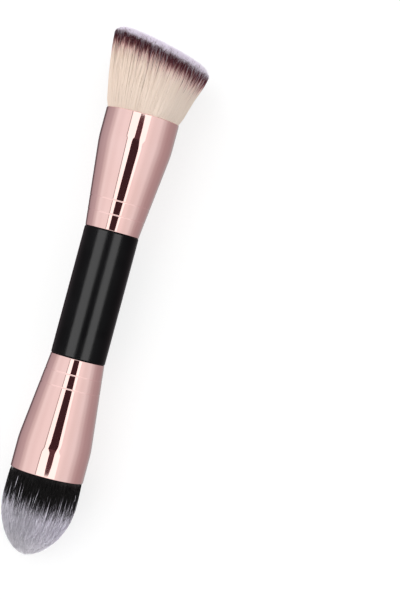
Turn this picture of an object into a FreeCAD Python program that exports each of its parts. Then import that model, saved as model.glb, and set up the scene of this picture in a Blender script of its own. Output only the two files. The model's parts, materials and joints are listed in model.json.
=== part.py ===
"""Double ended makeup brush, lying on its side on a flat surface.

A short turned handle carries a flared metal ferrule at each end. One ferrule holds
a dense head with a slanted, crowned top, and the other a bullet shaped head.
Every piece is drawn about the brush's own axis: x runs along it from the middle of
the handle, towards the slanted head, and the slanted head is longest on its +y side.
The whole brush is then laid down until both heads touch the surface at z = 0.
All sizes are in millimetres.
"""
import FreeCAD, Part

import math
import os

# The handle, turned from one piece of wood, with a tenon at each end.
handle_length = 41.0
handle_radius = 8.65
handle_edge_chamfer = 0.4
tenon_length = 14.0
tenon_chamfer = 0.8

# A ferrule: a drawn tube that widens as a cone and ends in a straight collar.
shoulder_step = 0.1
ferrule_wall = 0.4
ferrule_growth = 3.05
ferrule_cone_length = 27.4
ferrule_collar_length = 9.75

# The two rings rolled into each ferrule, counted from the handle's shoulder.
groove_count = 2
groove_start = 4.9
groove_pitch = 4.45
groove_width = 0.45
groove_depth = 0.1

# How the pieces fit into a ferrule. The roots and their resin fill its straight collar.
tenon_gap = 0.05
collar_gap = 0.04
root_depth = 6.0
resin_depth = 4.0

# Both heads are bundles of bristles that part into uneven locks.
lock_count = 32
lock_unevenness = 0.3
lock_depth_share = 0.17
tip_share = 0.1

# The slanted head.
slant_height = 20.1
slant_angle = 11.0
slant_sway = 0.5
slant_spread = 6.0
slant_flare_length = 26.5
slant_flare_power = 1.45
slant_crown_height = 2.7
slant_crown_power = 7.0

# The bullet head.
bullet_belly_height = 8.2
bullet_swell = 0.05
bullet_dome_length = 17.4
bullet_dome_power = 1.9
bullet_dome_root = 0.6

# How far the soft bristles are pressed flat where the brush rests on them.
slant_press = 0.4
bullet_press = 0.2

# Worked out from the sizes above.
shoulder_x = handle_length / 2
neck_radius = handle_radius - shoulder_step
mouth_radius = neck_radius + ferrule_growth
ferrule_length = ferrule_cone_length + ferrule_collar_length
mouth_x = shoulder_x + ferrule_length
cone_slope = ferrule_growth / ferrule_cone_length
cone_wall = ferrule_wall * math.hypot(1, cone_slope)
tenon_radius = neck_radius - cone_wall - tenon_gap
bore_radius = mouth_radius - ferrule_wall
bundle_radius = bore_radius - collar_gap
bullet_belly_radius = mouth_radius + bullet_swell

X_AXIS = FreeCAD.Vector(1, 0, 0)
Y_AXIS = FreeCAD.Vector(0, 1, 0)
Z_AXIS = FreeCAD.Vector(0, 0, 1)
ORIGIN = FreeCAD.Vector(0, 0, 0)


def at(x, radius):
    """A point of a profile, x along the brush and radius out from its axis."""
    return FreeCAD.Vector(x, 0, radius)


def turned(points):
    """The solid that a closed profile sweeps about the brush's axis."""
    face = Part.Face(Part.makePolygon(points + points[:1]))
    return face.revolve(ORIGIN, X_AXIS, 360)


def make_handle():
    """The barrel between two shoulders, and the tenons that the ferrules are pushed onto."""
    end_x = shoulder_x + tenon_length
    half = [
        at(end_x, 0),
        at(end_x, tenon_radius - tenon_chamfer),
        at(end_x - tenon_chamfer, tenon_radius),
        at(shoulder_x, tenon_radius),
        at(shoulder_x, handle_radius - handle_edge_chamfer),
        at(shoulder_x - handle_edge_chamfer, handle_radius),
    ]
    other_half = [at(-point.x, point.z) for point in reversed(half)]
    return turned(half + other_half)


def cone_radius(distance):
    """The radius of the ferrule's cone outside, at a distance from the shoulder."""
    return neck_radius + cone_slope * distance


def make_ferrule():
    """The drawn tube, with its rings rolled in from outside and a wall of even thickness."""
    outside = [at(shoulder_x, neck_radius)]
    for k in range(groove_count):
        middle = groove_start + k * groove_pitch
        for offset, depth in ((-0.5, 0), (0, groove_depth), (0.5, 0)):
            distance = middle + offset * groove_width
            outside.append(at(shoulder_x + distance, cone_radius(distance) - depth))
    outside.append(at(shoulder_x + ferrule_cone_length, mouth_radius))
    outside.append(at(mouth_x, mouth_radius))
    bend = (bore_radius + cone_wall - neck_radius) / cone_slope
    inside = [
        at(mouth_x, bore_radius),
        at(shoulder_x + bend, bore_radius),
        at(shoulder_x, neck_radius - cone_wall),
    ]
    return turned(outside + inside)


def make_root_resin():
    """The disc of resin that the bristles' roots are set in, at the bottom of the collar."""
    centre = at(mouth_x - root_depth - resin_depth, 0)
    return Part.makeCylinder(bundle_radius, resin_depth, centre, X_AXIS)


def lock_angles():
    """The angle that each lock takes round the bundle. They are a little uneven."""
    shares = [1 + lock_unevenness * math.sin(2.4 * k * k + k) for k in range(lock_count)]
    return [2 * math.pi * share / sum(shares) for share in shares]


def lock_ring(centre, radius, lean, parted):
    """The corners of an outline round the bundle, in a plane that leans towards +y.

    It runs out to the crest of each lock and in to the parting beside it. parted says how
    far the locks have opened, from 0 for a round bundle to 1.
    """
    points = []
    angle = 0.0
    for width in lock_angles():
        parting = radius * (1 - parted * lock_depth_share * width)
        for turn, distance in ((angle, parting), (angle + width / 2, radius)):
            across = distance * math.cos(turn)
            reach = FreeCAD.Vector(
                across * math.sin(lean), across * math.cos(lean), distance * math.sin(turn)
            )
            points.append(centre + reach)
        angle += width
    return points


def flat_face(*corners):
    return Part.Face(Part.makePolygon(corners + corners[:1]))


def bundle(rings):
    """The solid between a bundle's outlines. Each lock's two sides are flat from ring to ring."""
    faces = [flat_face(*rings[0]), flat_face(*rings[-1])]
    for ring, next_ring in zip(rings, rings[1:]):
        for k in range(len(ring)):
            faces.append(flat_face(ring[k - 1], ring[k], next_ring[k]))
            faces.append(flat_face(ring[k - 1], next_ring[k], next_ring[k - 1]))
    return Part.makeSolid(Part.makeShell(faces))


def slant_radius(height):
    """Half of the slanted head's width at a height above the ferrule's mouth."""
    closed = (1 - height / slant_flare_length) ** slant_flare_power
    return bundle_radius + slant_spread * (1 - closed)


def make_slanted_head():
    """Bristles that spread from the mouth to a slanted rim, under a low crown."""
    rings = [lock_ring(at(mouth_x - root_depth, 0), bundle_radius, 0, 1)]
    level_share = 0.42
    for share in (0, 0.15, level_share, 0.6, 0.8, 1):
        height = share * slant_height
        radius = slant_radius(height)
        lean = slant_angle * max(0, share - level_share) / (1 - level_share)
        centre = FreeCAD.Vector(mouth_x + height, -slant_sway * share, 0)
        rings.append(lock_ring(centre, radius, math.radians(lean), 1))

    rim_centre, rim_radius, rim_lean = centre, radius, math.radians(lean)
    up = FreeCAD.Vector(math.cos(rim_lean), -math.sin(rim_lean), 0)
    for share, parted in ((0.94, 0.5), (0.82, 0), (0.6, 0), (tip_share, 0)):
        raised = slant_crown_height * (1 - share ** slant_crown_power)
        rings.append(lock_ring(rim_centre + up * raised, share * rim_radius, rim_lean, parted))
    return bundle(rings)


def bullet_height(radius_share):
    """The height above the mouth at which the dome has shrunk to this share of the belly."""
    share = (1 - radius_share ** (1 / bullet_dome_root)) ** (1 / bullet_dome_power)
    return bullet_belly_height + share * bullet_dome_length


def make_bullet_head():
    """Bristles that swell a little past the mouth and close in a rounded point."""
    rings = [lock_ring(at(mouth_x - root_depth, 0), bundle_radius, 0, 1)]
    for share in (0, 0.3, 0.65, 1):
        swell = math.sin(share * math.pi / 2)
        radius = bundle_radius + swell * (bullet_belly_radius - bundle_radius)
        rings.append(lock_ring(at(mouth_x + share * bullet_belly_height, 0), radius, 0, 1))
    for share in (0.95, 0.84, 0.68, 0.5, 0.3, tip_share):
        centre = at(mouth_x + bullet_height(share), 0)
        rings.append(lock_ring(centre, share * bullet_belly_radius, 0, 1))
    return bundle(rings)


def lay_down(shape, turn_round):
    """Places a piece drawn about the brush's axis. turn_round puts it at the bullet's end."""
    rim_x = mouth_x + slant_height
    belly_x = mouth_x + bullet_belly_height
    rim_rest = slant_radius(slant_height) - slant_press
    belly_rest = bullet_belly_radius - bullet_press
    tilt = math.atan2(rim_rest - belly_rest, rim_x + belly_x)
    axis_height = belly_rest + belly_x * math.sin(tilt)

    placed = shape.copy()
    if turn_round:
        placed.rotate(ORIGIN, Z_AXIS, 180)
    placed.rotate(ORIGIN, Y_AXIS, -math.degrees(tilt))
    placed.translate(FreeCAD.Vector(0, 0, axis_height))
    return placed


def pressed_flat(head):
    """A soft head without what reached below the surface that it is pressed against."""
    box = head.BoundBox
    corner = FreeCAD.Vector(box.XMin, box.YMin, box.ZMin - 1)
    below = Part.makeBox(box.XLength, box.YLength, 1 - box.ZMin, corner)
    return head.cut(below)


def make_brush():
    """Every piece by name, lying on the surface, with the origin under the brush's middle."""
    pieces = {
        "handle": lay_down(make_handle(), False),
        "slanted_bristles": pressed_flat(lay_down(make_slanted_head(), False)),
        "bullet_bristles": pressed_flat(lay_down(make_bullet_head(), True)),
    }
    for end, turn_round in (("slanted", False), ("bullet", True)):
        pieces[end + "_ferrule"] = lay_down(make_ferrule(), turn_round)
        pieces[end + "_root_resin"] = lay_down(make_root_resin(), turn_round)

    box = Part.makeCompound(list(pieces.values())).optimalBoundingBox(False, False)
    for shape in pieces.values():
        shape.translate(FreeCAD.Vector(-box.Center.x, -box.Center.y, 0))
    return pieces


def main():
    os.makedirs("parts", exist_ok=True)
    for name, shape in make_brush().items():
        shape.exportStep("parts/" + name + ".step")
        box = shape.BoundBox
        print(
            f"{name}: {len(shape.Solids)} solid, {shape.Volume:.1f} cubic mm, valid {shape.isValid()},",
            f"x {box.XMin:.2f} to {box.XMax:.2f}, z {box.ZMin:.2f} to {box.ZMax:.2f}",
        )


main()
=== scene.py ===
"""A double ended makeup brush, lying on a pale surface under soft studio light."""

import json
import math

import bmesh
import bpy
import numpy as np
from mathutils import Matrix, Vector


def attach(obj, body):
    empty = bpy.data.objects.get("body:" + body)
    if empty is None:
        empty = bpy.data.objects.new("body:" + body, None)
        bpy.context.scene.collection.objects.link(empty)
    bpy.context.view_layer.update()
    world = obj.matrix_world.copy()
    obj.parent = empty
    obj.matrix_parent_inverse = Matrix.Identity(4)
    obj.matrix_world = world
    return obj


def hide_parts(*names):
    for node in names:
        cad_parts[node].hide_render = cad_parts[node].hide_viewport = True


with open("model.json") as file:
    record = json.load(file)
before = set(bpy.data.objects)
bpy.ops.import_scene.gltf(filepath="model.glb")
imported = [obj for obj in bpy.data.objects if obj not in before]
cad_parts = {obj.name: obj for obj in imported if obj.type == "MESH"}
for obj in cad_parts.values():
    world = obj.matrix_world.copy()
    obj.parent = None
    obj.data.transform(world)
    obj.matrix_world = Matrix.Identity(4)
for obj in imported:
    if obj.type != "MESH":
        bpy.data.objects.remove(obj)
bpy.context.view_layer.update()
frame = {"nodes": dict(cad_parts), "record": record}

MM = 0.001
FULL_TURN = 2 * math.pi

# The brush's own frame: x along its axis from the middle of the handle towards the slanted
# head, y across it and z away from the surface. The mount on the handle gives where it lies.
grip = next(mount for mount in frame["record"]["mounts"] if mount["name"] == "handle_grip")
axis = Vector(grip["axis"]).normalized()
across = Vector((0, 1, 0))
upward = axis.cross(across)
BRUSH_TURN = Matrix((axis, across, upward)).transposed()
BRUSH = Matrix.Translation(Vector(grip["pos_m"])) @ BRUSH_TURN.to_4x4()
SLANTED_END = BRUSH
BULLET_END = BRUSH @ Matrix.Rotation(math.pi, 4, "Z")


def span(node, end):
    """Where a CAD node starts and stops along the brush, seen from one end, and its radius."""
    to_end = end.inverted()
    places = np.array([to_end @ vertex.co for vertex in frame["nodes"][node].data.vertices])
    return places[:, 0].min(), places[:, 0].max(), np.hypot(places[:, 1], places[:, 2]).max()


# Sizes of the hard pieces, in metres. The grooves' places are counted from the shoulder.
SHOULDER, MOUTH, MOUTH_RADIUS = span("slanted_ferrule", SLANTED_END)
_, TENON_END, HANDLE_RADIUS = span("handle", SLANTED_END)
CONE_GROWTH = 3.05 * MM
CONE_LENGTH = 27.4 * MM
FERRULE_WALL = 0.4 * MM
KINK_ROUNDING = 2.2 * MM
GROOVE_PLACES = (4.9 * MM, 9.35 * MM)
GROOVE_WIDTH = 0.45 * MM
GROOVE_DEPTH = 0.08 * MM
NECK_ROUNDING = 0.12 * MM
SHOULDER_ROUNDING = 0.55 * MM
TENON_RADIUS = 8.1 * MM
TENON_CHAMFER = 0.8 * MM

# How finely the hard pieces are divided. A ring of points at the HOLDING distance from a
# rounding keeps the shading beside it flat. Points closer than SEAM are merged.
RING_POINTS = 160
GROOVE_POINTS = 13
KINK_POINTS = 15
STRAIGHT_POINTS = 6
BARREL_POINTS = 11
HOLDING = 0.05 * MM
SEAM = 0.0005 * MM

# Sizes of the bristle heads: lengths in metres, the lean in radians, and shares and powers.
ROOT_DEPTH = 6.0 * MM
PUFF_RISE = 0.7 * MM
BUNDLE_RADIUS = 11.16 * MM
SLANTED_HEAD = {
    "Bundle radius": BUNDLE_RADIUS,
    "Rim height": 20.1 * MM,
    "Puff": 0.45 * MM,
    "Puff ends": 8.5 * MM,
    "Rim lean": math.radians(12.2),
    "Lean starts": 0.43,
    "Sway": 0.75 * MM,
    "Spread": 5.85 * MM,
    "Flare length": 26.5 * MM,
    "Flare power": 1.45,
    "Crown height": 2.35 * MM,
    "Crown power": 16.0,
    # The slant stretches the dye's distance below the rim on the left and shrinks it on the right:
    # painted shade that darkens the band on the right side.
    "Painted shade slant": 0.36,
    "Dye tilt": 0.1 * MM,
}
BULLET_HEAD = {
    "Bundle radius": BUNDLE_RADIUS,
    "Puff": 0.08 * MM,
    "Puff ends": 6.0 * MM,
    "Belly height": 8.2 * MM,
    "Belly radius": 11.65 * MM,
    "Dome length": 17.6 * MM,
    "Dome power": 1.9,
    "Dome root": 0.565,
    "Closing": 0.6,
    "Tip sway": 0.5 * MM,
    "Dye tilt": 0.3 * MM,
    "Dye bulge": 0.5 * MM,
}

# Nearly all of Blender's noise lies between these.
NOISE_LOW = 0.3
NOISE_HIGH = 0.7


class Reading:
    """A value in a node tree. Arithmetic on it puts Math nodes in the tree."""

    def __init__(self, tree, socket):
        self.tree = tree
        self.socket = socket

    def __add__(self, other):
        return worked_out(self.tree, "ADD", self, other)

    def __sub__(self, other):
        return worked_out(self.tree, "SUBTRACT", self, other)

    def __mul__(self, other):
        return worked_out(self.tree, "MULTIPLY", self, other)

    def __truediv__(self, other):
        return worked_out(self.tree, "DIVIDE", self, other)

    def __pow__(self, other):
        return worked_out(self.tree, "POWER", self, other)

    def __rsub__(self, other):
        return worked_out(self.tree, "SUBTRACT", other, self)

    def __rtruediv__(self, other):
        return worked_out(self.tree, "DIVIDE", other, self)

    __radd__ = __add__
    __rmul__ = __mul__

    def at_least(self, low):
        return worked_out(self.tree, "MAXIMUM", self, low)

    def at_most(self, high):
        return worked_out(self.tree, "MINIMUM", self, high)

    def sine(self):
        return worked_out(self.tree, "SINE", self)

    def cosine(self):
        return worked_out(self.tree, "COSINE", self)

    def floor(self):
        return worked_out(self.tree, "FLOOR", self)


def feed(tree, socket, value):
    if isinstance(value, Reading):
        tree.links.new(value.socket, socket)
    elif isinstance(value, bpy.types.NodeSocket):
        tree.links.new(value, socket)
    else:
        socket.default_value = value


def worked_out(tree, operation, *values):
    node = tree.nodes.new("ShaderNodeMath")
    node.operation = operation
    for socket, value in zip(node.inputs, values):
        feed(tree, socket, value)
    return Reading(tree, node.outputs[0])


def node_in(tree, kind, inputs=None, **settings):
    """A new node with its settings made and its inputs, named by socket, fed."""
    node = tree.nodes.new(kind)
    for name, value in settings.items():
        setattr(node, name, value)
    for name, value in (inputs or {}).items():
        feed(tree, node.inputs[name], value)
    return node


def mapped_range(tree, value, low, high, to_low, to_high):
    node = node_in(
        tree,
        "ShaderNodeMapRange",
        {"Value": value, "From Min": low, "From Max": high, "To Min": to_low, "To Max": to_high},
    )
    return Reading(tree, node.outputs[0])


def spread_noise(tree, noise, low=0.0, high=1.0):
    """Noise, which hardly leaves the middle of its range, spread from low to high."""
    return mapped_range(tree, noise, NOISE_LOW, NOISE_HIGH, low, high)


def new_group(name, kind, inputs, outputs):
    """A node group with named sockets. Gives the tree, its inputs by name and its output node."""
    tree = bpy.data.node_groups.new(name, kind)
    for direction, sockets in (("INPUT", inputs), ("OUTPUT", outputs)):
        for label, socket_kind in sockets.items():
            tree.interface.new_socket(
                name=label, in_out=direction, socket_type="NodeSocket" + socket_kind
            )
    entry = tree.nodes.new("NodeGroupInput")
    readings = {socket.name: Reading(tree, socket) for socket in entry.outputs if socket.name}
    return tree, readings, tree.nodes.new("NodeGroupOutput")


# Geometry Nodes that the two bristle heads share.

FILAMENT_INPUTS = {
    "Filaments": "Int",
    "Points": "Int",
    "Seed": "Int",
    "Thickness": "Float",
    "Finish": "Material",
}

# The random numbers that each bristle draws, by what they decide.
TURN_DRAW = 0
DEPTH_DRAW = 1
SPREAD_DRAW = 2
TWIST_DRAW = 3
END_DRAW = 4
TONE_DRAW = 9

# How closely locks follow one another round the slanted head.
LOCKS = 9.0

# In the courses below, a bristle ends within end_range mm of the surface, and short_share of
# that range falls short of it. Depths and straying are shares of the head's radius, and
# twist and gathering are in radians.


def random_reading(tree, number, seed, step):
    """A random number from 0 to 1 for each filament."""
    node = node_in(tree, "FunctionNodeRandomValue", data_type="FLOAT")
    feed(tree, node.inputs["ID"], number)
    feed(tree, node.inputs["Seed"], seed + step)
    return Reading(tree, node.outputs["Value"])


def lock_reading(tree, turn, locks, seed):
    """Noise round the bundle, from 0 to 1, that the bristles of one lock share."""
    place = node_in(
        tree, "ShaderNodeCombineXYZ", {"X": turn.cosine(), "Y": turn.sine(), "Z": seed}
    )
    noise = node_in(
        tree, "ShaderNodeTexNoise", {"Vector": place.outputs[0], "Scale": locks, "Detail": 2.0}
    )
    return spread_noise(tree, noise.outputs[0])


def stored(tree, geometry, name, value, kind="FLOAT", domain="POINT"):
    node = node_in(
        tree,
        "GeometryNodeStoreNamedAttribute",
        {"Geometry": geometry, "Name": name},
        data_type=kind,
        domain=domain,
    )
    feed(tree, node.inputs["Value"], value)
    return node.outputs[0]


def named(tree, name):
    node = node_in(tree, "GeometryNodeInputNamedAttribute", {"Name": name}, data_type="FLOAT")
    return Reading(tree, node.outputs[0])


def puffed(sizes, height):
    """How far the bristles swell over the ferrule's lip as they leave it."""
    leaving = (height / PUFF_RISE).at_least(0).at_most(1)
    settling = (1 - height / sizes["Puff ends"]).at_least(0)
    return sizes["Puff"] * leaving * settling


def slanted_place(sizes, turn, share, spread, raised):
    """A point of the slanted head. share runs from 0 at the mouth to 1 at the rim, spread
    from 0 at the axis to 1 at the flank, and raised is how far it lies above the rim."""
    height = share * sizes["Rim height"]
    open_share = (1 - height / sizes["Flare length"]) ** sizes["Flare power"]
    radius = sizes["Bundle radius"] + sizes["Spread"] * (1 - open_share) + puffed(sizes, height)
    late = (share - sizes["Lean starts"]).at_least(0) / (1 - sizes["Lean starts"])
    lean = late * sizes["Rim lean"]
    out = turn.cosine() * spread * radius
    x = height + out * lean.sine() + raised * lean.cosine()
    y = out * lean.cosine() - share * sizes["Sway"] - raised * lean.sine()
    return x, y, turn.sine() * spread * radius


def slanted_dye_and_shade(sizes, turn, share, raised):
    """How far below the rim a point lies, as the dye sees it, with painted shade: below the rim the
    distance is stretched on the left side and shrunk on the right, so the band fades sooner on the
    left and reaches further down, darker, on the right.
    """
    below = (1 - share) * sizes["Rim height"] - raised + turn.cosine() * sizes["Dye tilt"]
    return below + below.at_least(0) * turn.cosine() * sizes["Painted shade slant"]


def crown(sizes, spread):
    return sizes["Crown height"] * (1 - spread ** sizes["Crown power"])


def bullet_radius(sizes, height):
    """The bullet head's outer radius at a height above the mouth."""
    nearly_closed = 0.999
    below = (height / sizes["Belly height"]).at_least(0).at_most(1)
    swell = (below * (math.pi / 2)).sine()
    belly = sizes["Bundle radius"] + (sizes["Belly radius"] - sizes["Bundle radius"]) * swell
    above = (height - sizes["Belly height"]) / sizes["Dome length"]
    above = above.at_least(0).at_most(nearly_closed)
    return belly * (1 - above ** sizes["Dome power"]) ** sizes["Dome root"] + puffed(sizes, height)


def dome_height(sizes, share):
    """The height at which the dome has shrunk to this share of the belly."""
    closed = (1 - share ** (1 / sizes["Dome root"])) ** (1 / sizes["Dome power"])
    return sizes["Belly height"] + closed * sizes["Dome length"]


def bullet_sway(sizes, height):
    """How far the bullet head bends aside as it closes."""
    above = ((height - sizes["Belly height"]) / sizes["Dome length"]).at_least(0)
    return sizes["Tip sway"] * above ** 2


def bullet_dye(sizes, turn, height):
    """Where the dye's edge lies: deeper on top of the bundle, and on one side of it."""
    slope = turn.cosine() * sizes["Dye tilt"]
    bulge = (turn.sine() ** 2 - 0.5) * sizes["Dye bulge"]
    return height - slope - bulge


def combined(tree, x, y, z):
    return node_in(tree, "ShaderNodeCombineXYZ", {"X": x, "Y": y, "Z": z}).outputs[0]


def handed_out(tree, geometry, finish, exit_node):
    """Ends a tree: its geometry is made real, gets its material and leaves the tree."""
    realized = node_in(tree, "GeometryNodeRealizeInstances", {"Geometry": geometry})
    finished = node_in(
        tree, "GeometryNodeSetMaterial", {"Geometry": realized.outputs[0], "Material": finish}
    )
    tree.links.new(finished.outputs[0], exit_node.inputs[0])


def filament_tree(name, sizes, course):
    """A tree that grows separate filaments. course gives their points and dye distances."""
    inputs = {**FILAMENT_INPUTS, **dict.fromkeys(sizes, "Float")}
    tree, given, exit_node = new_group(name, "GeometryNodeTree", inputs, {"Bristles": "Geometry"})

    points = node_in(tree, "GeometryNodePoints", {"Count": given["Filaments"] * given["Points"]})
    index = Reading(tree, tree.nodes.new("GeometryNodeInputIndex").outputs[0])
    number = ((index + 0.5) / given["Points"]).floor()
    step = index - number * given["Points"]
    along = step / (given["Points"] - 1)

    def chance(k):
        return random_reading(tree, number, given["Seed"], k)

    place, dye, lock = course(tree, given, along, chance)
    geometry = points.outputs[0]
    geometry = stored(tree, geometry, "number", number)
    geometry = stored(tree, geometry, "along", along)
    geometry = stored(tree, geometry, "dye", dye)
    geometry = stored(tree, geometry, "lock", lock)
    geometry = stored(tree, geometry, "tone", chance(TONE_DRAW))
    moved = node_in(tree, "GeometryNodeSetPosition", {"Geometry": geometry, "Position": place})
    curves = node_in(
        tree,
        "GeometryNodePointsToCurves",
        {
            "Points": moved.outputs[0],
            "Curve Group ID": named(tree, "number"),
            "Weight": named(tree, "along"),
        },
    )

    sides = 3
    taper_power = 4
    taper_share = 0.75
    section = node_in(
        tree, "GeometryNodeCurvePrimitiveCircle", {"Resolution": sides, "Radius": 0.5}
    )
    side = Reading(tree, tree.nodes.new("GeometryNodeInputIndex").outputs[0])
    section = stored(tree, section.outputs[0], "side", side / (sides - 1))
    taper = given["Thickness"] * (1 - named(tree, "along") ** taper_power * taper_share)
    tubes = node_in(
        tree,
        "GeometryNodeCurveToMesh",
        {"Curve": curves.outputs[0], "Profile Curve": section, "Scale": taper, "Fill Caps": True},
    )
    smooth = node_in(tree, "GeometryNodeSetShadeSmooth", {"Geometry": tubes.outputs[0]})

    # Each filament has its own cell of the map, with a margin round it.
    margin_u = 0.15
    margin_v = 0.08
    cells = (given["Filaments"] ** 0.5 + 1).floor()
    row = (named(tree, "number") / cells).floor()
    column = named(tree, "number") - row * cells
    u = (column + margin_u + named(tree, "side") * (1 - 2 * margin_u)) / cells
    v = (row + margin_v + named(tree, "along") * (1 - 2 * margin_v)) / cells
    mapped = stored(
        tree, smooth.outputs[0], "OFBake", combined(tree, u, v, 0.0), "FLOAT2", "CORNER"
    )
    handed_out(tree, mapped, given["Finish"], exit_node)
    return tree


def slanted_flank(tree, sizes, along, chance):
    """Long bristles of the outer layers, from inside the mouth to the rim."""
    start = -0.06
    fine_locks = 30.0
    layer_depth = 0.018
    lock_depth = 0.004
    straying = 0.012
    twist = 0.05
    gathering = 0.005
    short_share = 0.55
    end_range = 0.9

    turn = chance(TURN_DRAW) * FULL_TURN
    lock = lock_reading(tree, turn, LOCKS, sizes["Seed"])
    fine_lock = lock_reading(tree, turn, fine_locks, sizes["Seed"] + 1)
    depth = chance(DEPTH_DRAW) ** 1.5 * layer_depth + (lock - 0.5).at_least(0) * lock_depth
    spread = 1 - depth + (chance(SPREAD_DRAW) - 0.5) * along ** 2 * straying
    aside = turn + (chance(TWIST_DRAW) - 0.5) * along * twist
    aside += (fine_lock - 0.5) * along ** 2 * gathering
    share = start + along * (1 - start)
    uneven_end = (chance(END_DRAW) - short_share) * end_range * MM
    raised = (crown(sizes, spread) + uneven_end) * along ** 3
    x, y, z = slanted_place(sizes, aside, share, spread, raised)
    return combined(tree, x + MOUTH, y, z), slanted_dye_and_shade(sizes, aside, share, raised), fine_lock


def slanted_crown(tree, sizes, along, chance):
    """The ends of the inner bristles, over the whole crown."""
    start = 0.80
    widest = 0.985
    straying = 0.03
    twist = 0.03
    short_share = 0.6
    end_range = 0.7

    turn = chance(TURN_DRAW) * FULL_TURN
    lock = lock_reading(tree, turn, LOCKS, sizes["Seed"])
    spread = chance(DEPTH_DRAW) ** 0.5 * widest
    aside = turn + (chance(TWIST_DRAW) - 0.5) * along * twist
    share = start + along * (1 - start)
    uneven_end = (chance(END_DRAW) - short_share) * end_range * MM
    raised = (crown(sizes, spread) + uneven_end) * along ** 2
    leaning = spread + (chance(SPREAD_DRAW) - 0.5) * along ** 2 * straying
    x, y, z = slanted_place(sizes, aside, share, leaning, raised)
    return combined(tree, x + MOUTH, y, z), slanted_dye_and_shade(sizes, aside, share, raised), lock


def bullet_course(tree, sizes, along, chance):
    """Bristles that run along the head and each end at the surface, at their own height."""
    lowest_start = -1.5 * MM
    shown_length = 9.5 * MM
    fine_locks = 28.0
    narrowest = 0.02
    tip_range = 0.975
    tip_power = 0.62
    layer_depth = 0.05
    twist = 0.14
    gathering = 0.02
    short_share = 0.6
    end_range = 0.7

    turn = chance(TURN_DRAW) * FULL_TURN
    fine_lock = lock_reading(tree, turn, fine_locks, sizes["Seed"] + 1)
    tip_share = narrowest + chance(DEPTH_DRAW) ** tip_power * tip_range
    tip = dome_height(sizes, tip_share) + (chance(END_DRAW) - short_share) * end_range * MM
    start = (tip - shown_length).at_least(lowest_start)
    height = start + (tip - start) * along
    belly = sizes["Belly radius"]
    layer = 1 - chance(SPREAD_DRAW) ** 2 * layer_depth
    spread = tip_share ** (1 - sizes["Closing"]) * layer
    radius = belly * spread * (bullet_radius(sizes, height) / belly) ** sizes["Closing"]
    aside = turn + (chance(TWIST_DRAW) - 0.5) * along * twist
    aside += (fine_lock - 0.5) * along ** 2 * gathering
    y = aside.cosine() * radius - bullet_sway(sizes, height)
    place = combined(tree, height + MOUTH, y, aside.sine() * radius)
    return place, bullet_dye(sizes, aside, height), fine_lock


def core_tree(name, sizes, surface):
    """A tree that wraps a grid into the closed surface that the outer bristles lie on."""
    inputs = {"Columns": "Int", "Rows": "Int", "Finish": "Material"}
    inputs.update(dict.fromkeys(sizes, "Float"))
    tree, given, exit_node = new_group(name, "GeometryNodeTree", inputs, {"Core": "Geometry"})
    grid = node_in(
        tree,
        "GeometryNodeMeshGrid",
        {"Size X": 1.0, "Size Y": 1.0, "Vertices X": given["Columns"], "Vertices Y": given["Rows"]},
    )
    flat = tree.nodes.new("GeometryNodeInputPosition").outputs[0]
    spot = node_in(tree, "ShaderNodeSeparateXYZ", {"Vector": flat})
    turn = (Reading(tree, spot.outputs[0]) + 0.5) * FULL_TURN
    way = Reading(tree, spot.outputs[1]) + 0.5
    place, dye = surface(tree, given, turn, way)
    geometry = stored(tree, grid.outputs[0], "dye", dye)
    moved = node_in(tree, "GeometryNodeSetPosition", {"Geometry": geometry, "Position": place})
    merged = node_in(
        tree, "GeometryNodeMergeByDistance", {"Geometry": moved.outputs[0], "Distance": 0.01 * MM}
    )
    smooth = node_in(tree, "GeometryNodeSetShadeSmooth", {"Geometry": merged.outputs[0]})
    handed_out(tree, smooth.outputs[0], given["Finish"], exit_node)
    return tree


# Where a core's foot and its flank end, on the way from its bottom at 0 to its top at 1.
FOOT_END = 0.15
FLANK_END = 0.7


def core_parts(way):
    """How far the way has come up the foot and the flank, and how much of the top is left."""
    foot = (way / FOOT_END).at_most(1)
    climb = ((way - FOOT_END) / (FLANK_END - FOOT_END)).at_least(0).at_most(1)
    top = ((1 - way) / (1 - FLANK_END)).at_most(1)
    return foot, climb, top


def slanted_surface(tree, sizes, turn, way):
    """The slanted core: its foot in the ferrule, its flank and, past FLANK_END, its crown."""
    width = 0.98
    lock_depth = 0.004
    cover = 1.1 * MM

    foot, climb, top = core_parts(way)
    lowest = ROOT_DEPTH / sizes["Rim height"]
    share = climb * (1 + lowest) - lowest
    lock = lock_reading(tree, turn, LOCKS, sizes["Flare power"])
    ring = foot.at_most(top)
    spread = ring * (width - (lock - 0.5).at_least(0) * lock_depth)
    raised = (crown(sizes, ring) - cover) * climb ** 3
    x, y, z = slanted_place(sizes, turn, share, spread, raised)
    return combined(tree, x + MOUTH, y, z), slanted_dye_and_shade(sizes, turn, share, raised)


def bullet_surface(tree, sizes, turn, way):
    """The bullet core: its foot in the ferrule, its belly and, past FLANK_END, its dome."""
    width = 0.95
    cover = 0.6 * MM

    foot, climb, top = core_parts(way)
    low = climb * (sizes["Belly height"] + ROOT_DEPTH) - ROOT_DEPTH
    height = low + dome_height(sizes, top) - sizes["Belly height"]
    radius = bullet_radius(sizes, low) * foot.at_most(top) * width
    x = height - cover * (1 - top) + MOUTH
    y = turn.cosine() * radius - bullet_sway(sizes, height)
    return combined(tree, x, y, turn.sine() * radius), bullet_dye(sizes, turn, height)


def grown(name, tree, values, end):
    """The plain mesh that a tree makes with these inputs, placed at one end of the brush."""
    carrier = bpy.data.objects.new(name + "_tree", bpy.data.meshes.new(name + "_tree"))
    bpy.context.scene.collection.objects.link(carrier)
    modifier = carrier.modifiers.new("Tree", "NODES")
    modifier.node_group = tree
    for item in tree.interface.items_tree:
        if item.in_out == "INPUT":
            modifier[item.identifier] = values[item.name]
    evaluated = carrier.evaluated_get(bpy.context.evaluated_depsgraph_get())
    mesh = bpy.data.meshes.new_from_object(evaluated)
    carrier.modifiers.remove(modifier)
    bpy.data.objects.remove(carrier)
    mesh.transform(end)
    return mesh


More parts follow.
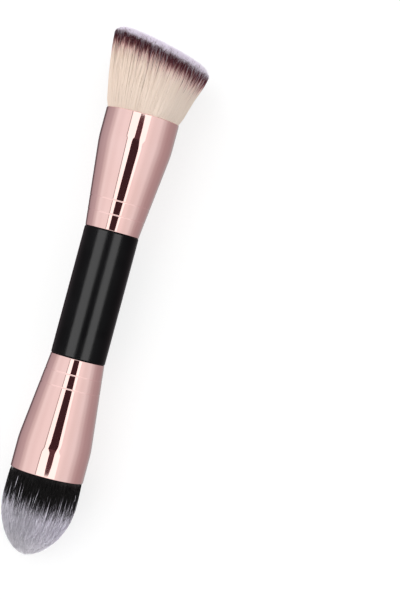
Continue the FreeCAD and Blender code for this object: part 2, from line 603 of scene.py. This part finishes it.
def pressed(mesh):
    """Presses what lies lowest flat on the surface, and harder the lower it lies."""
    softness = 0.15 * MM
    reach = 8 * softness
    places = np.zeros(len(mesh.vertices) * 3)
    mesh.vertices.foreach_get("co", places)
    places = places.reshape(-1, 3)
    low = places[:, 2] < reach
    places[low, 2] = softness * np.log1p(np.exp(places[low, 2] / softness))
    mesh.vertices.foreach_set("co", places.ravel())
    mesh.update()
    return mesh


def outward(mesh, merge=0.0):
    """Closes a mesh's seams and turns its faces outwards."""
    work = bmesh.new()
    work.from_mesh(mesh)
    if merge:
        bmesh.ops.remove_doubles(work, verts=work.verts, dist=merge)
    bmesh.ops.recalc_face_normals(work, faces=work.faces)
    work.to_mesh(mesh)
    work.free()
    return mesh


def piece(name, mesh, slot, node):
    """A finished piece of the brush that stands for a CAD node."""
    made = bpy.data.objects.new(name, mesh)
    mesh.name = name
    bpy.context.scene.collection.objects.link(made)
    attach(made, "root")
    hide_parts(node)


def turned(outline, closed, end, material):
    """The mesh that an outline of (x, radius) pairs sweeps about the brush's axis."""
    rings = []
    work = bmesh.new()
    for x, radius in outline:
        ring = []
        for k in range(RING_POINTS):
            angle = FULL_TURN * k / RING_POINTS
            ring.append(work.verts.new((x, radius * math.cos(angle), radius * math.sin(angle))))
        rings.append(ring)
    pairs = list(zip(rings, rings[1:]))
    if closed:
        pairs.append((rings[-1], rings[0]))
    for ring, next_ring in pairs:
        for k in range(RING_POINTS):
            after = (k + 1) % RING_POINTS
            work.faces.new((ring[k], ring[after], next_ring[after], next_ring[k]))
    mesh = bpy.data.meshes.new("turned")
    work.to_mesh(mesh)
    work.free()
    outward(mesh, SEAM)
    mesh.transform(end)
    mesh.polygons.foreach_set("use_smooth", [True] * len(mesh.polygons))
    mesh.materials.append(material)
    return mesh


def rounding(x, radius, size, first, last, count=6):
    """Points of an arc about (x, radius), from one angle in degrees to another."""
    angles = np.radians(np.linspace(first, last, count))
    return [(x + size * math.cos(a), radius + size * math.sin(a)) for a in angles]


def ferrule_radius(distance):
    """The tube's outer radius at a distance from the shoulder, with the kink rounded."""
    slope = CONE_GROWTH / CONE_LENGTH
    to_kink = CONE_LENGTH - distance
    if to_kink < -KINK_ROUNDING:
        drop = 0.0
    elif to_kink < KINK_ROUNDING:
        drop = (to_kink + KINK_ROUNDING) ** 2 / (4 * KINK_ROUNDING)
    else:
        drop = to_kink
    radius = MOUTH_RADIUS - slope * drop
    for place in GROOVE_PLACES:
        away = (distance - place) / GROOVE_WIDTH
        if abs(away) < 0.5:
            radius -= GROOVE_DEPTH * (0.5 + 0.5 * math.cos(FULL_TURN * away))
    return radius


def ferrule_outline():
    """The tube's section: out along the cone and the collar, round the lip and back inside."""
    lip = FERRULE_WALL / 2
    lip_start = MOUTH - SHOULDER - lip
    before_grooves = 3.0 * MM
    past_groove = 2.0 * MM
    past_grooves = 14.0 * MM
    kink_start = CONE_LENGTH - KINK_ROUNDING
    kink_end = CONE_LENGTH + KINK_ROUNDING

    distances = [NECK_ROUNDING, NECK_ROUNDING + HOLDING, before_grooves]
    for place in GROOVE_PLACES:
        half = GROOVE_WIDTH / 2
        distances.append(place - half - HOLDING)
        distances += list(place + half * np.linspace(-1, 1, GROOVE_POINTS))
        distances.append(place + half + HOLDING)
        distances.append(place + past_groove)
    distances += list(np.linspace(past_grooves, kink_start - HOLDING, STRAIGHT_POINTS))
    distances += list(CONE_LENGTH + KINK_ROUNDING * np.linspace(-1, 1, KINK_POINTS))
    distances += list(np.linspace(kink_end + HOLDING, lip_start - HOLDING, STRAIGHT_POINTS))
    distances.append(lip_start)
    neck = ferrule_radius(0) - NECK_ROUNDING
    outline = rounding(SHOULDER + NECK_ROUNDING, neck, NECK_ROUNDING, 180, 100)
    outline += [(SHOULDER + d, ferrule_radius(d)) for d in distances]
    outline += rounding(MOUTH - lip, MOUTH_RADIUS - lip, lip, 78, -90, 12)
    bore = MOUTH_RADIUS - FERRULE_WALL
    outline.append((SHOULDER + CONE_LENGTH, bore))
    outline.append((SHOULDER, ferrule_radius(0) - FERRULE_WALL))
    return outline


def handle_outline():
    """The barrel between two rounded shoulders, with a tenon at each end."""
    corner = HANDLE_RADIUS - SHOULDER_ROUNDING
    half = rounding(SHOULDER - SHOULDER_ROUNDING, corner, SHOULDER_ROUNDING, 90, 0, 8)
    half += [
        (SHOULDER, TENON_RADIUS),
        (TENON_END - TENON_CHAMFER, TENON_RADIUS),
        (TENON_END, TENON_RADIUS - TENON_CHAMFER),
        (TENON_END, 0.0),
    ]
    straight = SHOULDER - SHOULDER_ROUNDING - HOLDING
    barrel = [(x, HANDLE_RADIUS) for x in np.linspace(-straight, straight, BARREL_POINTS)]
    mirrored = [(-x, radius) for x, radius in reversed(half)]
    return mirrored + barrel + half


# Materials.


def new_material(name, **constants):
    """A material, and its tree and shader, with the shader's own sockets set."""
    material = bpy.data.materials.new(name)
    material.use_nodes = True
    tree = material.node_tree
    shader = tree.nodes["Principled BSDF"]
    for label, value in constants.items():
        shader.inputs[label.replace("_", " ")].default_value = value
    return material, tree, shader


# How noise is scaled along the brush, across it and up: alike, into rings or into streaks.
ALIKE = (1.0, 1.0, 1.0)
INTO_RINGS = (1.0, 0.06, 0.06)
INTO_STREAKS = (0.04, 1.0, 1.0)


def brush_places(tree, scale):
    """Object coordinates in the brush's own frame, stretched by scale."""
    source = tree.nodes.new("ShaderNodeTexCoord").outputs["Object"]
    tilt = math.atan2(axis.z, axis.x)
    mapping = node_in(tree, "ShaderNodeMapping", {"Vector": source}, vector_type="POINT")
    mapping.inputs["Rotation"].default_value = (0, tilt, 0)
    stretched = node_in(
        tree, "ShaderNodeVectorMath", {0: mapping.outputs[0], 1: scale}, operation="MULTIPLY"
    )
    return stretched.outputs[0]


def fine_surface_group():
    """Fine irregularities of a surface: a grain for its bump and patches for its gloss."""
    tree, given, exit_node = new_group(
        "Fine surface",
        "ShaderNodeTree",
        {"Place": "Vector", "Grain size": "Float", "Patch size": "Float"},
        {"Grain": "Float", "Patches": "Float"},
    )
    for label, size, detail in (("Grain", "Grain size", 3.0), ("Patches", "Patch size", 2.0)):
        noise = node_in(
            tree,
            "ShaderNodeTexNoise",
            {"Vector": given["Place"], "Scale": 1.0 / given[size], "Detail": detail},
        )
        tree.links.new(noise.outputs[0], exit_node.inputs[label])
    return tree


def placed_group(tree, group, inputs):
    return node_in(tree, "ShaderNodeGroup", inputs, node_tree=group)


def surface_on(tree, fine_surface, scale, grain, patch):
    """The fine irregularities of one material, with the sizes of grain and patches in mm."""
    place = brush_places(tree, scale)
    inputs = {"Place": place, "Grain size": grain * MM, "Patch size": patch * MM}
    return placed_group(tree, fine_surface, inputs)


def bumped(tree, shader, height, distance, strength=1.0):
    bump = node_in(
        tree, "ShaderNodeBump", {"Height": height, "Distance": distance, "Strength": strength}
    )
    tree.links.new(bump.outputs[0], shader.inputs["Normal"])


def ramp(tree, value, stops):
    """Colours at places from 0 to 1, eased between."""
    node = node_in(tree, "ShaderNodeValToRGB")
    feed(tree, node.inputs[0], value)
    node.color_ramp.interpolation = "EASE"
    while len(node.color_ramp.elements) < len(stops):
        node.color_ramp.elements.new(0.5)
    for element, (place, colour) in zip(node.color_ramp.elements, stops):
        element.position = place
        element.color = (*colour, 1)
    return node.outputs[0]


def shaded(tree, colour, amount):
    """A colour made lighter or darker by a factor."""
    node = node_in(tree, "ShaderNodeVectorMath", {0: colour}, operation="SCALE")
    feed(tree, node.inputs["Scale"], amount)
    return node.outputs[0]


def tinted(tree, shader, patches, dark, light):
    """Lets the base colour drift between two colours from patch to patch."""
    tint = ramp(tree, patches, [(NOISE_LOW, dark), (NOISE_HIGH, light)])
    tree.links.new(tint, shader.inputs["Base Color"])


def rose_metal(fine_surface):
    """Polished metal, with the fine rings that its turning left."""
    material, tree, shader = new_material("rose_metal", Metallic=1.0)
    rings = surface_on(tree, fine_surface, INTO_RINGS, 0.12, 3)
    even = surface_on(tree, fine_surface, ALIKE, 0.4, 14)
    tinted(tree, shader, even.outputs["Patches"], (0.86, 0.60, 0.555), (0.88, 0.63, 0.59))
    gloss = spread_noise(tree, rings.outputs["Grain"], 0.02, 0.045)
    feed(tree, shader.inputs["Roughness"], gloss)
    bumped(tree, shader, rings.outputs["Grain"], 0.0001 * MM)
    return material


def black_paint(fine_surface):
    material, tree, shader = new_material("black_paint", IOR=1.13)
    skin = surface_on(tree, fine_surface, ALIKE, 0.35, 9)
    dark, light = (0.0006, 0.0006, 0.0007), (0.0010, 0.0010, 0.0011)
    tinted(tree, shader, skin.outputs["Patches"], dark, light)
    gloss = spread_noise(tree, skin.outputs["Patches"], 0.19, 0.22)
    feed(tree, shader.inputs["Roughness"], gloss)
    bumped(tree, shader, skin.outputs["Grain"], 0.01 * MM, 0.5)
    return material


def amber_resin(fine_surface):
    material, tree, shader = new_material("amber_resin")
    skin = surface_on(tree, fine_surface, ALIKE, 0.8, 5)
    tinted(tree, shader, skin.outputs["Patches"], (0.72, 0.62, 0.38), (0.84, 0.76, 0.55))
    gloss = spread_noise(tree, skin.outputs["Grain"], 0.15, 0.3)
    feed(tree, shader.inputs["Roughness"], gloss)
    return material


def dye_group():
    """Where on a dyed bristle a point lies, with the ragged edge that dyed bristles have."""
    tree, given, exit_node = new_group(
        "Ragged dye",
        "ShaderNodeTree",
        {
            "Distance": "Float",
            "Tone": "Float",
            "Lock": "Float",
            "Bristle raggedness": "Float",
            "Lock raggedness": "Float",
            "Raggedness growth": "Float",
            "Light stray reach": "Float",
            "Dark stray reach": "Float",
            "Bristle contrast": "Float",
            "Lock contrast": "Float",
        },
        {"Distance": "Float", "Shade": "Float"},
    )
    # A high power lets only a few bristles in a hundred stray far.
    rarity = 12
    least_growth = 0.3
    most_growth = 2
    tone = given["Tone"] - 0.5
    lock = given["Lock"] - 0.5
    growth = 1 + given["Distance"] * given["Raggedness growth"]
    growth = growth.at_least(least_growth).at_most(most_growth)
    uneven = (tone * given["Bristle raggedness"] + lock * given["Lock raggedness"]) * growth
    stray = given["Tone"] ** rarity * given["Light stray reach"]
    stray -= (1 - given["Tone"]) ** rarity * given["Dark stray reach"]
    feed(tree, exit_node.inputs["Distance"], given["Distance"] + uneven + stray)
    shade = 1 + (tone - 0.5) * given["Bristle contrast"] + (lock - 0.5) * given["Lock contrast"]
    feed(tree, exit_node.inputs["Shade"], shade)
    return tree


# How many streaks, and how many clumps of them, the cores show for each millimetre.
STREAKS_PER_MM = 4.0
CLUMPS_PER_MM = 1.2


def streaks(tree, per_mm):
    """Noise from 0 to 1 that is drawn out along the brush, as bristles are."""
    places = brush_places(tree, INTO_STREAKS)
    noise = node_in(
        tree, "ShaderNodeTexNoise", {"Vector": places, "Scale": per_mm / MM, "Detail": 2.0}
    )
    return spread_noise(tree, noise.outputs[0])


def attribute(tree, name):
    return node_in(tree, "ShaderNodeAttribute", attribute_name=name).outputs["Fac"]


def bristle_material(name, dye, look, on_core):
    """Dyed bristles, for the separate ones or for the closed surface under them."""
    material, tree, shader = new_material(name, Roughness=0.5, **look["shine"])
    if on_core:
        tone = streaks(tree, STREAKS_PER_MM)
        lock = streaks(tree, CLUMPS_PER_MM)
    else:
        tone = attribute(tree, "tone")
        lock = attribute(tree, "lock")
    inputs = {"Distance": attribute(tree, "dye"), "Tone": tone, "Lock": lock, **look["dye"]}
    dyed = placed_group(tree, dye, inputs)
    stops = look["stops"]
    start, end = stops[0][0], stops[-1][0]
    place = mapped_range(tree, dyed.outputs["Distance"], start * MM, end * MM, 0.0, 1.0)
    colour = ramp(tree, place, [((mm - start) / (end - start), tint) for mm, tint in stops])
    feed(tree, shader.inputs["Base Color"], shaded(tree, colour, dyed.outputs["Shade"]))
    return material


LAVENDER = (0.93, 0.87, 0.97)
BURGUNDY = (0.094, 0.011, 0.022)
BROWN_RED = (0.20, 0.060, 0.068)
DEEP_PINK = (0.47, 0.235, 0.225)
DUSTY_PINK = (0.86, 0.57, 0.53)
ROSY_CREAM = (0.97, 0.80, 0.72)
CREAM = (0.99, 0.835, 0.72)
SOOT = (0.004, 0.0035, 0.0035)
SMOKE = (0.12, 0.11, 0.13)
SILVER = (0.61, 0.585, 0.655)
PALE_SILVER = (0.78, 0.755, 0.805)

# The dyes, by the distance in mm below the rim on the slanted head and above the mouth on the
# bullet head. On the slanted head that distance also carries painted shade, stretched on the left
# and shrunk on the right. A bristle and its lock each move the dyes' edges by their raggedness.
IVORY = {
    "stops": [
        (-3.0, LAVENDER),
        (-0.4, LAVENDER),
        (0.5, BURGUNDY),
        (2.3, BURGUNDY),
        (3.0, BROWN_RED),
        (3.65, DEEP_PINK),
        (4.3, DUSTY_PINK),
        (5.5, ROSY_CREAM),
        (7.4, CREAM),
        (24.0, CREAM),
    ],
    "dye": {
        "Bristle raggedness": 1.2 * MM,
        "Lock raggedness": 1.2 * MM,
        "Raggedness growth": 0.12 / MM,
        "Light stray reach": 2.0 * MM,
        "Dark stray reach": 3.2 * MM,
        "Bristle contrast": 0.08,
        "Lock contrast": 0.04,
    },
    "shine": {"Specular_IOR_Level": 0.3},
}
SMOKE_GREY = {
    "stops": [
        (-2.0, SOOT),
        (8.9, SOOT),
        (10.0, SMOKE),
        (11.8, SILVER),
        (18.0, SILVER),
        (24.0, PALE_SILVER),
        (28.0, PALE_SILVER),
    ],
    "dye": {
        "Bristle raggedness": 3.5 * MM,
        "Lock raggedness": 4.5 * MM,
        "Raggedness growth": 0.0,
        "Light stray reach": 5.0 * MM,
        "Dark stray reach": 2.0 * MM,
        "Bristle contrast": 0.42,
        "Lock contrast": 0.24,
    },
    "shine": {"Specular_IOR_Level": 0.1, "Sheen_Weight": 0.03},
}


def make_hard_pieces():
    fine_surface = fine_surface_group()
    metal = rose_metal(fine_surface)
    for node, end in (("slanted_ferrule", SLANTED_END), ("bullet_ferrule", BULLET_END)):
        mesh = turned(ferrule_outline(), True, end, metal)
        piece(node.replace("ferrule", "tube"), mesh, "ferrule_metal", node)
    paint = black_paint(fine_surface)
    mesh = turned(handle_outline(), False, BRUSH, paint)
    piece("barrel", mesh, "handle_paint", "handle")
    resin = amber_resin(fine_surface)
    for node in ("slanted_root_resin", "bullet_root_resin"):
        slots = frame["nodes"][node].data.materials
        slots.clear()
        slots.append(resin)


# What each head's pieces share: their CAD node, look, sizes and end of the brush.
SLANTED = ("slanted_bristles", "ivory", SLANTED_HEAD, SLANTED_END)
BULLET = ("bullet_bristles", "smoke", BULLET_HEAD, BULLET_END)

# The separate bristles: their head and course, how many they are, how many points each has,
# their seed and their thickness in mm.
BRISTLES = {
    "slanted_flank": (SLANTED, slanted_flank, 5000, 7, 1, 0.15),
    "slanted_crown": (SLANTED, slanted_crown, 13500, 3, 2, 0.15),
    "bullet_outer": (BULLET, bullet_course, 7500, 5, 3, 0.13),
    "bullet_inner": (BULLET, bullet_course, 7500, 5, 4, 0.13),
}
CORES = {
    "slanted_core": (SLANTED, slanted_surface),
    "bullet_core": (BULLET, bullet_surface),
}
CORE_GRID = {"Columns": 145, "Rows": 70}


def make_bristles():
    dye = dye_group()
    finish = {}
    for name, look in (("ivory", IVORY), ("smoke", SMOKE_GREY)):
        finish[name, "bristles"] = bristle_material(name + "_bristles", dye, look, False)
        finish[name, "core"] = bristle_material(name + "_core", dye, look, True)

    grown_share = 1.0
    for name, (head, course, count, points, seed, thickness) in BRISTLES.items():
        node, look, sizes, end = head
        tree = filament_tree(name, sizes, course)
        values = {
            "Filaments": int(count * grown_share),
            "Points": points,
            "Seed": seed,
            "Thickness": thickness * MM,
            "Finish": finish[look, "bristles"],
            **sizes,
        }
        mesh = pressed(grown(name, tree, values, end))
        piece(name, mesh, look + "_bristles", node)

    for name, (head, surface) in CORES.items():
        node, look, sizes, end = head
        tree = core_tree(name, sizes, surface)
        values = {**CORE_GRID, "Finish": finish[look, "core"], **sizes}
        mesh = outward(pressed(grown(name, tree, values, end)))
        piece(name, mesh, look + "_bristles", node)


# The studio. Places are in the brush's frame, with right as the photograph shows it.

RIGHT = -across
CAMERA_DISTANCE = 576 * MM
CAMERA_ALONG = 7.07 * MM
CAMERA_RIGHT = 32.0 * MM
PHOTO_TILT = math.radians(15.05)
LENS = 111

# What gloss shows round the brush: its colour by the angle from straight up, to the right.
SURROUNDINGS = [
    (-180, (0.14, 0.10, 0.11)),
    (-150, (0.15, 0.11, 0.12)),
    (-133, (0.47, 0.39, 0.42)),
    (-102, (0.56, 0.49, 0.52)),
    (-88, (0.74, 0.69, 0.71)),
    (-74, (0.97, 0.96, 0.98)),
    (-60, (0.96, 0.93, 0.95)),
    (-42, (1.02, 1.00, 1.02)),
    (0, (1.00, 1.00, 1.00)),
    (30, (1.04, 0.99, 1.00)),
    (48, (0.92, 0.88, 0.89)),
    (66, (0.92, 0.90, 0.92)),
    (80, (0.73, 0.69, 0.71)),
    (94, (0.56, 0.48, 0.50)),
    (108, (0.48, 0.39, 0.41)),
    (135, (0.44, 0.36, 0.38)),
    (160, (0.46, 0.43, 0.44)),
    (180, (0.30, 0.28, 0.30)),
]
WHITE = (1.0, 1.0, 1.0)
DARK_RED = (1.0, 0.42, 0.50)


def studio_place(along, right, height):
    return Vector(grip["pos_m"]) + axis * along + RIGHT * right + upward * height


def make_camera():
    """Looks straight down on the brush, turned as in the photograph."""
    data = bpy.data.cameras.new("camera")
    data.lens = LENS
    camera = bpy.data.objects.new("camera", data)
    bpy.context.scene.collection.objects.link(camera)
    top = axis * math.cos(PHOTO_TILT) - RIGHT * math.sin(PHOTO_TILT)
    side = axis * math.sin(PHOTO_TILT) + RIGHT * math.cos(PHOTO_TILT)
    camera.matrix_world = Matrix((side, top, upward)).transposed().to_4x4()
    camera.location = studio_place(CAMERA_ALONG, CAMERA_RIGHT, CAMERA_DISTANCE)
    bpy.context.scene.camera = camera


def only_in_reflections(card):
    card.visible_camera = False
    card.visible_diffuse = False
    card.visible_shadow = False
    card.visible_transmission = False
    card.visible_volume_scatter = False


def make_card(name, corners, height, colour, brightness):
    """A card over the brush that only its gloss shows. corners are (along, right) pairs."""
    mesh = bpy.data.meshes.new(name)
    places = [studio_place(along * MM, right * MM, height) for along, right in corners]
    mesh.from_pydata(places, [], [range(len(places))])
    material = bpy.data.materials.new(name)
    material.use_nodes = True
    tree = material.node_tree
    tree.nodes.clear()
    glow = node_in(tree, "ShaderNodeEmission", {"Color": (*colour, 1), "Strength": brightness})
    output = tree.nodes.new("ShaderNodeOutputMaterial")
    tree.links.new(glow.outputs[0], output.inputs[0])
    mesh.materials.append(material)
    card = bpy.data.objects.new(name, mesh)
    bpy.context.scene.collection.objects.link(card)
    only_in_reflections(card)


# Corners of the cards, as (along, right) pairs in mm. The dark card is in three parts: the
# ferrules' cones and the barrel show its middle, and the ferrules' collars show its ends.
DARK_MIDDLE = [(-60, -90), (-16, -67), (5, -69), (30, -68), (50, -66), (66, -56), (66, 84.5)]
DARK_MIDDLE += [(60, 88), (30, 102), (6, 110), (-16, 115), (-40, 110), (-60, 92)]
DARK_SLANTED_END = [(66, -56), (72, -37), (88, -33), (92, -24), (92, 66), (86, 80), (69, 83)]
DARK_SLANTED_END += [(66, 84.5)]
DARK_BULLET_END = [(-101, -24), (-96, -36), (-86, -38), (-72, -62), (-60, -90), (-60, 92)]
DARK_BULLET_END += [(-86, 76), (-96, 79), (-101, 60)]
LINE = [(-150, -242), (-103, -226), (-86, -205), (-60, -175), (60, -179), (76, -208), (150, -232)]
LINE_WIDTH = 22
LINE_BACK = [(along, right - LINE_WIDTH) for along, right in reversed(LINE)]
BRIGHT_RIGHT = [(150, 250), (95, 222), (74, 222), (60, 198), (47, 174), (30, 172), (8, 184)]
BRIGHT_RIGHT += [(-18, 184), (-40, 174), (-62, 155), (-80, 190), (-93, 218), (-107, 225)]
BRIGHT_RIGHT += [(-150, 250)]

# The cards: their corners, height in mm, colour and brightness.
CARDS = {
    "dark_card": (DARK_MIDDLE, 400, DARK_RED, 0.05),
    "dark_slanted_end": (DARK_SLANTED_END, 400, DARK_RED, 0.11),
    "dark_bullet_end": (DARK_BULLET_END, 400, DARK_RED, 0.11),
    "bright_card": (LINE + BRIGHT_RIGHT, 405, WHITE, 1.5),
    "line_card": (LINE + LINE_BACK, 400, WHITE, 0.4),
}


def make_cards():
    """The dark card hangs under a bright one, beside a thin line."""
    for name, (corners, height, colour, brightness) in CARDS.items():
        make_card(name, corners, height * MM, colour, brightness)


BULLET_PIECES = ("bullet_outer", "bullet_inner", "bullet_core")

# The lamps: their (along, right, up) places in mm, their sizes in metres, their power in watts
# and the pieces that they light, if not all.
LAMPS = {
    "left_lamp": ((120, -450, 560), (0.9, 0.7), 2.4, ()),
    "right_lamp": ((60, 560, 420), (0.7, 0.6), 0.8, ()),
    "left_strip": ((-20, -237, 300), (0.3, 0.315), 5.4, ("barrel",)),
    "right_strip": ((-20, 207, 300), (0.3, 0.246), 4.3, ("barrel",)),
    "bullet_left_lamp": ((-140, -490, 120), (0.3, 0.3), 2.4, BULLET_PIECES),
    "bullet_right_lamp": ((-130, 520, 100), (0.3, 0.3), 13.0, BULLET_PIECES),
    "crown_lamp": ((420, 60, 250), (0.3, 0.3), 0.9, ("slanted_crown",)),
}


def make_lamp(name, place, size, power):
    """A soft rectangular lamp that is turned to the brush, out of the camera's sight."""
    data = bpy.data.lights.new(name, "AREA")
    data.shape = "RECTANGLE"
    data.size, data.size_y = size
    data.energy = power
    lamp = bpy.data.objects.new(name, data)
    bpy.context.scene.collection.objects.link(lamp)
    lamp.location = studio_place(*(part * MM for part in place))
    lamp.rotation_mode = "QUATERNION"
    lamp.rotation_quaternion = (studio_place(0, 0, 0) - lamp.location).to_track_quat("-Z", "Y")
    lamp.visible_camera = False
    return lamp


def make_lamps():
    """Soft lamps for the whole brush or some pieces, and flat strips in the barrel's gloss."""
    for name, (place, size, power, lit) in LAMPS.items():
        lamp = make_lamp(name, place, size, power)
        if name.endswith("strip"):
            lamp.rotation_quaternion = BRUSH_TURN.to_quaternion()
        else:
            lamp.visible_glossy = False
        if lit:
            receivers = bpy.data.collections.new(name + "_only")
            for piece_name in lit:
                receivers.objects.link(bpy.data.objects[piece_name])
            lamp.light_linking.receiver_collection = receivers


# What gloss shows grows brighter towards the brush's two ends, and dark at the very ends.
# The starts are cosines of the angle to the brush's axis.
BOOST_START = 0.25
BOOST_RANGE = 0.3
BOOST = 0.8
FADE_START = 0.7
FADE = 3.0

# The world as light: its strength from above, what it gains from below, what it loses from
# the right and what it gains from ahead.
LIGHT_ABOVE = 0.69
LIGHT_BELOW = 0.8
LIGHT_RIGHT = 0.08
LIGHT_AHEAD = 0.6


def part_along(tree, direction, way):
    """How far a direction runs one way, as a cosine."""
    node = node_in(
        tree, "ShaderNodeVectorMath", {0: direction, 1: way}, operation="DOT_PRODUCT"
    )
    return Reading(tree, node.outputs["Value"])


def make_world():
    """White to the camera, uneven as light, and graded in what gloss shows."""
    world = bpy.data.worlds.new("studio")
    bpy.context.scene.world = world
    world.use_nodes = True
    tree = world.node_tree
    background = tree.nodes["Background"]
    path = tree.nodes.new("ShaderNodeLightPath").outputs
    seen_through = Reading(tree, path["Is Transmission Ray"])
    white = (Reading(tree, path["Is Camera Ray"]) + seen_through).at_most(1)
    glossy = Reading(tree, path["Is Glossy Ray"]).at_most(1 - white)

    direction = tree.nodes.new("ShaderNodeTexCoord").outputs["Generated"]
    rightward, ahead, high = (part_along(tree, direction, way) for way in (RIGHT, axis, upward))
    angle = worked_out(tree, "ARCTAN2", rightward, high)
    shown = ramp(
        tree,
        angle / FULL_TURN + 0.5,
        [(degrees / 360 + 0.5, colour) for degrees, colour in SURROUNDINGS],
    )
    reach = (ahead * ahead) ** 0.5
    boost = (reach - BOOST_START).at_least(0).at_most(BOOST_RANGE) * BOOST
    shown = shaded(tree, shown, 1 + boost - (reach - FADE_START).at_least(0) * FADE)
    # The node's colours are its inputs 6 and 7 and its output 2.
    colour = node_in(tree, "ShaderNodeMix", data_type="RGBA")
    feed(tree, colour.inputs["Factor"], glossy)
    feed(tree, colour.inputs[6], (1, 1, 1, 1))
    feed(tree, colour.inputs[7], shown)
    feed(tree, background.inputs["Color"], colour.outputs[2])
    light = LIGHT_ABOVE + (1 - high) ** 2 * LIGHT_BELOW
    light = light - rightward * LIGHT_RIGHT + ahead * LIGHT_AHEAD
    strength = white + glossy + (1 - white - glossy) * light
    feed(tree, background.inputs["Strength"], strength)


def make_floor():
    """A pale floor that keeps the shadow. The camera sees it brightened, nearly to white."""
    mesh = bpy.data.meshes.new("floor")
    half = 3.0
    mesh.from_pydata(
        [(-half, -half, 0), (half, -half, 0), (half, half, 0), (-half, half, 0)], [], [(0, 1, 2, 3)]
    )
    material, tree, shader = new_material("floor", Roughness=0.9)
    albedo = 0.35
    brightening = 0.68
    shader.inputs["Base Color"].default_value = (albedo, albedo, albedo, 1)
    shader.inputs["Specular IOR Level"].default_value = 0.0
    shader.inputs["Emission Color"].default_value = (1, 1, 1, 1)
    path = tree.nodes.new("ShaderNodeLightPath").outputs
    glow = Reading(tree, path["Is Camera Ray"]) * brightening
    feed(tree, shader.inputs["Emission Strength"], glow)
    mesh.materials.append(material)
    floor = bpy.data.objects.new("floor", mesh)
    bpy.context.scene.collection.objects.link(floor)
    floor.visible_glossy = False


make_camera()
make_hard_pieces()
make_bristles()
make_floor()
make_world()
make_cards()
make_lamps()

bpy.context.scene.view_settings.view_transform = "Standard"
